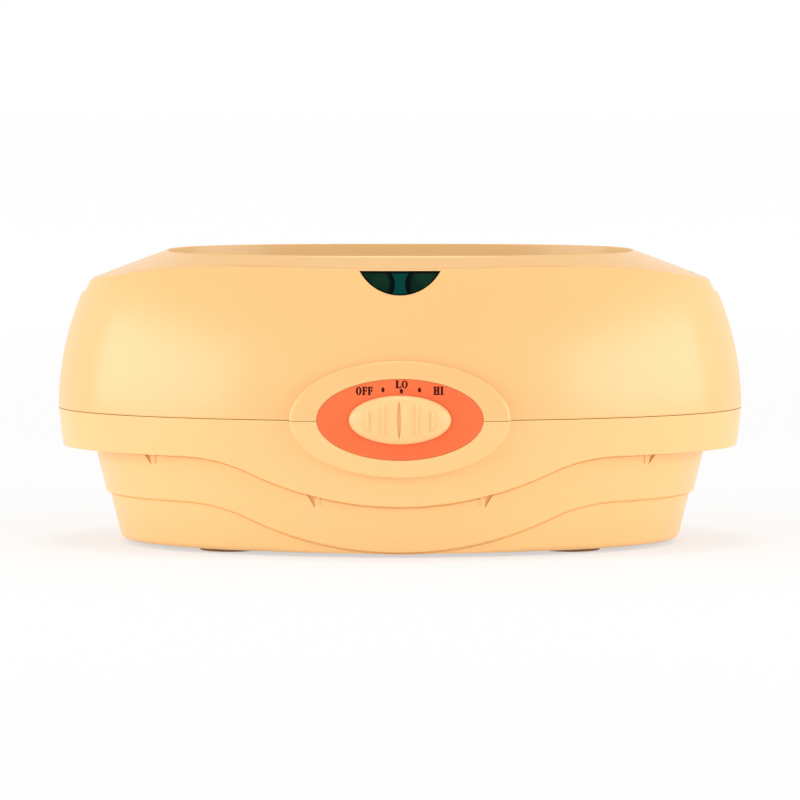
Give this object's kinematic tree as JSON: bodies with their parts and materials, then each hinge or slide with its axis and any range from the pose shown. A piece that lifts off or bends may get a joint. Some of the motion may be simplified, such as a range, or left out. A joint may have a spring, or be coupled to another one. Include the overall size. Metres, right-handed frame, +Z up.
{
  "type": "paraffin bath",
  "caption": "Oval table-top wax bath with a heated tank, sloping shoulder, wave-shaped ledges, half-moon lamp window and a ribbed slide knob.",
  "frame": {"origin": "on the table, under the middle of the whole object's box", "axes": "+X to the right as the user faces the controls, +Y to the back, +Z up; the controls face -Y"},
  "size_m": [0.37, 0.2529, 0.158],
  "materials": {
    "upper_plastic": "fine moulded texture, satin",
    "lower_plastic": "fine moulded texture, satin",
    "knob_plastic": "satin",
    "label_plastic": "satin orange",
    "inner_plastic": "plain moulded",
    "lens_plastic": "dark green, gloss",
    "foot_rubber": "matt",
    "steel": "zinc plated",
    "tank_metal": "drawn, satin",
    "seal_rubber": "silicone",
    "felt": "needled felt",
    "heater_foil": "foil on silicone",
    "ceramic": "glazed ceramic body",
    "brass": "turned",
    "lamp_glass": "clear neon lamp",
    "grille_plastic": "white heat-proof plastic",
    "lead_cover": "silicone lead"
  },
  "bodies": {
    "base": {"upper_housing": "upper_plastic", "lower_housing": "lower_plastic", "label_plate": "label_plastic", "window_lens": "lens_plastic", "feet": "foot_rubber", "housing_screws": "steel", "tank": "tank_metal", "tank_gasket": "seal_rubber", "tank_clamps": "steel", "tank_screws": "steel", "insulation_wrap": "felt", "heater_mat": "heater_foil", "heater_plate": "steel", "heater_studs": "steel", "heater_nuts": "steel", "thermostat_body": "ceramic", "thermostat_bracket": "steel", "thermal_fuse": "ceramic", "fuse_clip": "steel", "lamp_holder": "inner_plastic", "power_lamp": "lamp_glass", "ready_lamp": "lamp_glass", "power_inlet": "inner_plastic", "inlet_pins": "brass", "inlet_screws": "steel", "terminal_block": "grille_plastic", "terminal_screws": "steel", "fuse_lead": "lead_cover", "lamp_screws": "steel", "mains_leads": "lead_cover", "thermostat_leads": "lead_cover"},
    "slider": {"slide_knob": "knob_plastic", "slider_carrier": "inner_plastic", "slider_screw": "steel"},
    "lever": {"thermostat_lever": "steel", "thermostat_shaft": "brass"},
    "grille": {"tank_grille": "grille_plastic"}
  },
  "joints": [
    {"name": "knob_slide", "type": "slide", "parent": "base", "child": "slider", "axis": [1, 0, 0], "range_m": [-0.018, 0.018]},
    {"name": "lever_turn", "type": "hinge", "parent": "base", "child": "lever", "pos_m": [0, -0.0319, 0.022], "axis": [0, 0, 1], "range_deg": [-15.6, 15.6]},
    {"name": "grille_lift", "type": "slide", "parent": "base", "child": "grille", "axis": [0, 0, 1], "range_m": [0, 0.12]}
  ],
  "couplings": [
    {"joint": "lever_turn", "follows": "knob_slide", "rad_per_m": 14.954}
  ]
}
